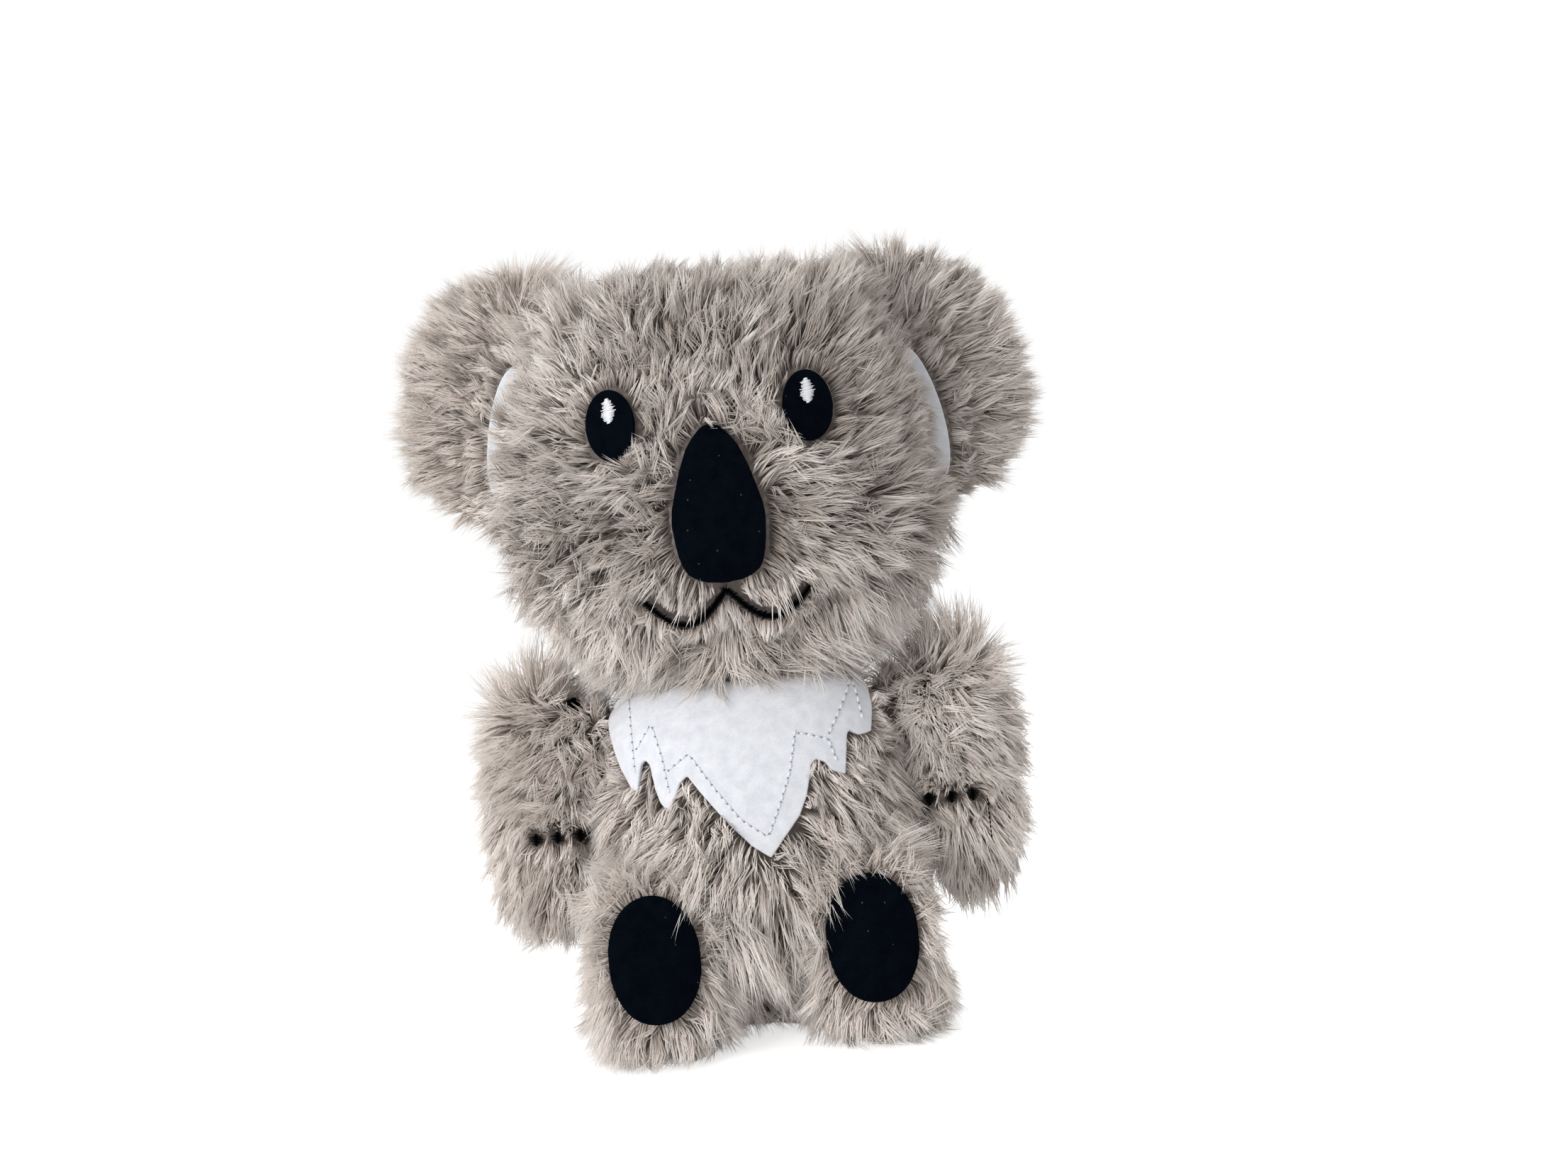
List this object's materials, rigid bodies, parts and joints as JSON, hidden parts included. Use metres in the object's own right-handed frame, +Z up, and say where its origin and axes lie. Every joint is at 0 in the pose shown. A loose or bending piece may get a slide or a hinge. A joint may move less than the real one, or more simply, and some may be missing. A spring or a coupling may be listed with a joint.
{
  "type": "plush koala",
  "caption": "Sitting grey plush koala with a big round head, round furry ears, felt face, chest bib and soles; head, ears, arms and legs swing softly.",
  "frame": {"origin": "centre of the toy's footprint box, on the surface that it sits on", "axes": "+Z up, the toy faces -Y, its own left side is +X"},
  "size_m": [0.2024, 0.1078, 0.2406],
  "materials": {
    "grey_fur": "long acrylic pile, grey-brown with paler tips",
    "stuffing": "polyester fibre filling",
    "black_felt": "matt short-nap felt, near-black navy",
    "white_felt": "matt felt, cool white with pressed fibres",
    "black_thread": "satin-stitched polyester thread",
    "white_thread": "satin-stitched polyester thread",
    "satin_tape": "woven satin label tape, bare"
  },
  "bodies": {
    "torso": {"torso_front_panel": "grey_fur", "torso_back_panel": "grey_fur", "torso_stuffing": "stuffing", "chest_bib": "white_felt", "care_label": "satin_tape"},
    "neck": {"neck_stuffing": "stuffing"},
    "head": {"face_left_panel": "grey_fur", "face_right_panel": "grey_fur", "head_back_panel": "grey_fur", "head_stuffing": "stuffing", "nose_felt": "black_felt", "mouth_embroidery": "black_thread", "left_eye_felt": "black_felt", "right_eye_felt": "black_felt", "left_eye_highlight": "white_thread", "right_eye_highlight": "white_thread"},
    "left_ear": {"left_ear_front_panel": "grey_fur", "left_ear_back_panel": "grey_fur", "left_ear_filling": "stuffing", "left_inner_ear_felt": "white_felt"},
    "right_ear": {"right_ear_front_panel": "grey_fur", "right_ear_back_panel": "grey_fur", "right_ear_filling": "stuffing", "right_inner_ear_felt": "white_felt"},
    "left_arm": {"left_arm_front_panel": "grey_fur", "left_arm_back_panel": "grey_fur", "left_arm_stuffing": "stuffing", "left_claw_1": "black_thread", "left_claw_2": "black_thread", "left_claw_3": "black_thread", "left_hand_closing_seam": "black_thread"},
    "right_arm": {"right_arm_front_panel": "grey_fur", "right_arm_back_panel": "grey_fur", "right_arm_stuffing": "stuffing", "right_claw_1": "black_thread", "right_claw_2": "black_thread", "right_claw_3": "black_thread", "right_shoulder_tack": "black_thread"},
    "left_leg": {"left_leg_inner_panel": "grey_fur", "left_leg_outer_panel": "grey_fur", "left_leg_stuffing": "stuffing", "left_sole_felt": "black_felt"},
    "right_leg": {"right_leg_inner_panel": "grey_fur", "right_leg_outer_panel": "grey_fur", "right_leg_stuffing": "stuffing", "right_sole_felt": "black_felt"}
  },
  "joints": [
    {"name": "head_nod", "type": "hinge", "parent": "torso", "child": "neck", "pos_m": [0, 0.0079, 0.104], "axis": [1, 0, 0], "range_deg": [-12, 12], "stiffness_Nm_per_rad": 1},
    {"name": "head_turn", "type": "hinge", "parent": "neck", "child": "head", "pos_m": [0, 0.0079, 0.104], "axis": [0, 0, 1], "range_deg": [-25, 25], "stiffness_Nm_per_rad": 1},
    {"name": "left_ear_fold", "type": "hinge", "parent": "head", "child": "left_ear", "pos_m": [0.05796, 0.0139, 0.193], "axis": [-0.2079, 0, 0.9781], "range_deg": [-20, 20], "stiffness_Nm_per_rad": 0.03},
    {"name": "right_ear_fold", "type": "hinge", "parent": "head", "child": "right_ear", "pos_m": [-0.05796, 0.0139, 0.193], "axis": [0.2079, 0, 0.9781], "range_deg": [-20, 20], "stiffness_Nm_per_rad": 0.03},
    {"name": "left_arm_swing", "type": "hinge", "parent": "torso", "child": "left_arm", "pos_m": [0.0443, 0.0079, 0.088], "axis": [-1, 0, 0], "range_deg": [-15, 60], "stiffness_Nm_per_rad": 0.05},
    {"name": "right_arm_swing", "type": "hinge", "parent": "torso", "child": "right_arm", "pos_m": [-0.0443, 0.0079, 0.088], "axis": [-1, 0, 0], "range_deg": [-15, 60], "stiffness_Nm_per_rad": 0.05},
    {"name": "left_leg_swing", "type": "hinge", "parent": "torso", "child": "left_leg", "pos_m": [0.031, -0.0081, 0.0275], "axis": [-1, 0, 0], "range_deg": [-50, 8], "stiffness_Nm_per_rad": 0.15},
    {"name": "right_leg_swing", "type": "hinge", "parent": "torso", "child": "right_leg", "pos_m": [-0.031, -0.0081, 0.0275], "axis": [-1, 0, 0], "range_deg": [-50, 8], "stiffness_Nm_per_rad": 0.15}
  ]
}
